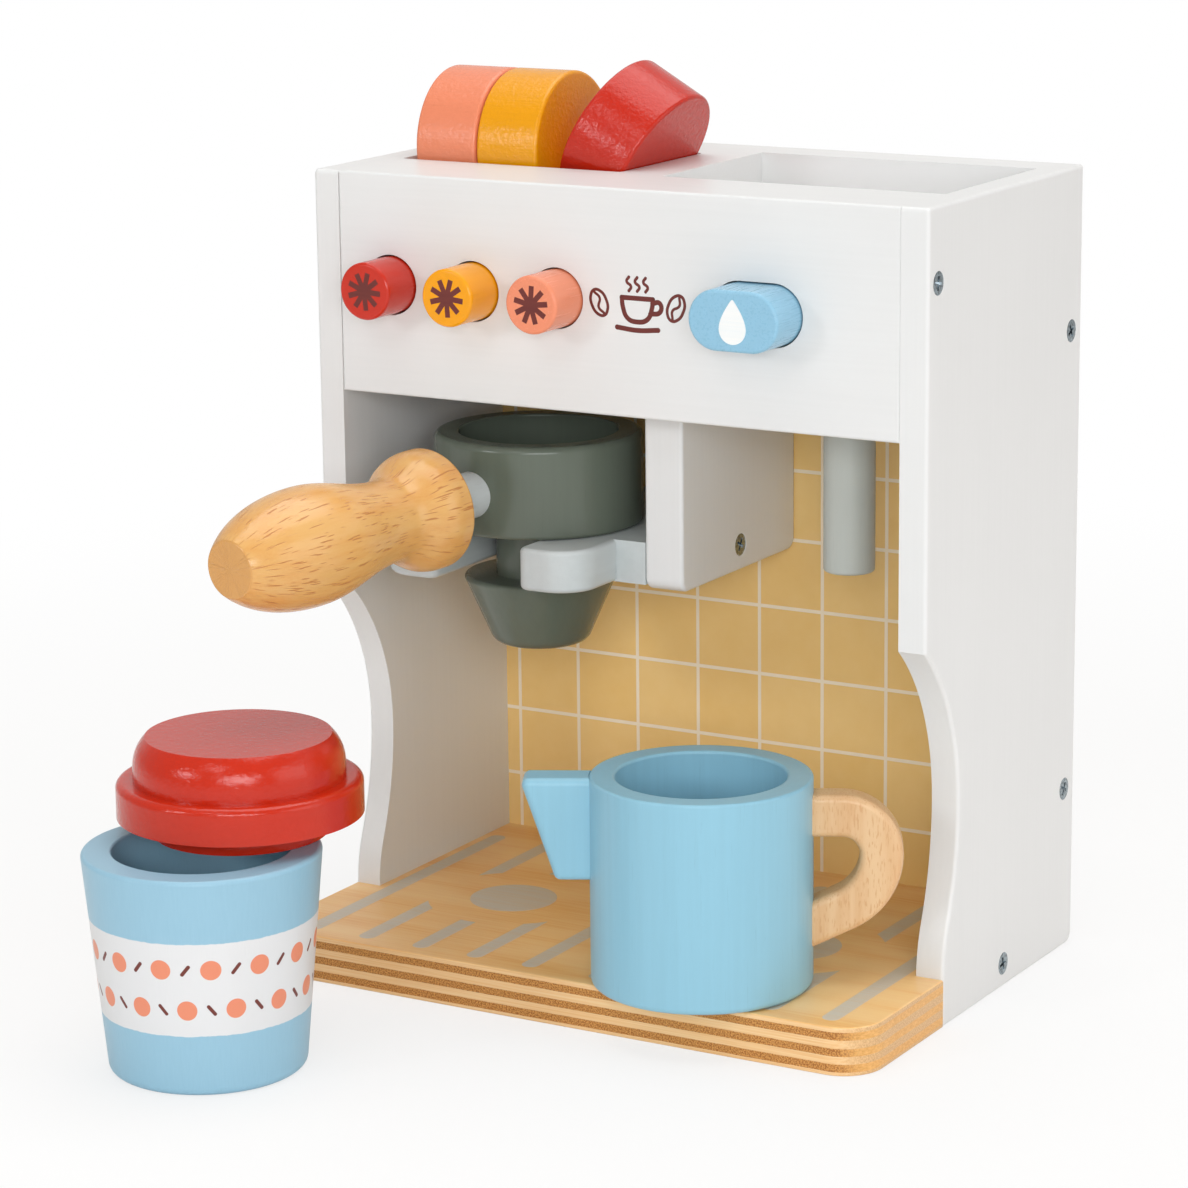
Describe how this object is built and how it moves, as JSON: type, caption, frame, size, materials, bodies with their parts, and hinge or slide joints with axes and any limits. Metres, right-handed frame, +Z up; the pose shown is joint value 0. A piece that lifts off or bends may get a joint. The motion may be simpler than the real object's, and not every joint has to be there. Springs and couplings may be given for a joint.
{
  "type": "toy coffee maker",
  "caption": "Wooden pretend-play coffee machine with push buttons, pull-out portafilter, water spout, loose pods, milk jug and lidded cup.",
  "frame": {"origin": "middle of the base board's underside, on the surface that the toy stands on", "axes": "+X to the right seen from the front, +Y to the back, +Z up"},
  "size_m": [0.2131, 0.2623, 0.2814],
  "materials": {
    "white_paint": "satin paint on board",
    "tile_print": "printed square tile pattern under satin lacquer",
    "plywood": "clear satin lacquer, layered edges",
    "bare_board": "bare board",
    "light_grey_paint": "satin paint",
    "grey_green_paint": "satin paint",
    "red_paint": "gloss paint",
    "yellow_paint": "satin paint",
    "coral_paint": "satin paint",
    "blue_paint": "satin paint",
    "rubberwood": "clear lacquer",
    "beech": "clear lacquer",
    "zinc_steel": "zinc plated",
    "spring_steel": "plain wire"
  },
  "bodies": {
    "cabinet": {"left_side_panel": "white_paint", "right_side_panel": "white_paint", "back_panel": "tile_print", "base_board": "plywood", "front_fascia": "white_paint", "top_deck": "white_paint", "deck_floor": "white_paint", "head_floor": "white_paint", "button_guide_board": "bare_board", "group_partition": "white_paint", "portafilter_fork": "light_grey_paint", "water_spout": "light_grey_paint", "side_screws": "zinc_steel", "fork_screws": "zinc_steel", "back_screws": "zinc_steel", "red_button_spring": "spring_steel", "yellow_button_spring": "spring_steel", "coral_button_spring": "spring_steel", "water_button_spring": "spring_steel"},
    "red_button": {"red_button": "red_paint"},
    "yellow_button": {"yellow_button": "yellow_paint"},
    "coral_button": {"coral_button": "coral_paint"},
    "water_button": {"water_button": "blue_paint"},
    "portafilter": {"portafilter_bowl": "grey_green_paint", "portafilter_cone": "grey_green_paint", "handle_dowel": "light_grey_paint", "portafilter_handle": "rubberwood"},
    "jug": {"jug_body": "blue_paint", "jug_spout": "blue_paint", "jug_handle": "beech"},
    "cup": {"cup": "blue_paint"},
    "lid": {"cup_lid": "red_paint"},
    "coral_pod": {"coral_pod": "coral_paint"},
    "yellow_pod": {"yellow_pod": "yellow_paint"},
    "red_pod": {"red_pod": "red_paint"}
  },
  "joints": [
    {"name": "red_button_push", "type": "slide", "parent": "cabinet", "child": "red_button", "axis": [0, 1, 0], "range_m": [0, 0.005], "stiffness_N_per_m": 300, "springref_m": -0.002, "deforming": ["red_button_spring"]},
    {"name": "yellow_button_push", "type": "slide", "parent": "cabinet", "child": "yellow_button", "axis": [0, 1, 0], "range_m": [0, 0.005], "stiffness_N_per_m": 300, "springref_m": -0.002, "deforming": ["yellow_button_spring"]},
    {"name": "coral_button_push", "type": "slide", "parent": "cabinet", "child": "coral_button", "axis": [0, 1, 0], "range_m": [0, 0.005], "stiffness_N_per_m": 300, "springref_m": -0.002, "deforming": ["coral_button_spring"]},
    {"name": "water_button_push", "type": "slide", "parent": "cabinet", "child": "water_button", "axis": [0, 1, 0], "range_m": [0, 0.005], "stiffness_N_per_m": 300, "springref_m": -0.002, "deforming": ["water_button_spring"]},
    {"name": "portafilter_slide", "type": "slide", "parent": "cabinet", "child": "portafilter", "axis": [0, -1, 0], "range_m": [0, 0.055]},
    {"name": "jug_lift", "type": "slide", "parent": "cabinet", "child": "jug", "axis": [0, 0, 1], "range_m": [0, 0.035]},
    {"name": "cup_move", "type": "slide", "parent": "cabinet", "child": "cup", "axis": [0, -1, 0], "range_m": [0, 0.1]},
    {"name": "lid_lift", "type": "slide", "parent": "cup", "child": "lid", "axis": [0, 0, 1], "range_m": [0, 0.025]},
    {"name": "coral_pod_lift", "type": "slide", "parent": "cabinet", "child": "coral_pod", "axis": [0, 0, 1], "range_m": [0, 0.06]},
    {"name": "yellow_pod_lift", "type": "slide", "parent": "cabinet", "child": "yellow_pod", "axis": [0, 0, 1], "range_m": [0, 0.06]},
    {"name": "red_pod_lift", "type": "slide", "parent": "cabinet", "child": "red_pod", "axis": [0, 0, 1], "range_m": [0, 0.06]}
  ]
}
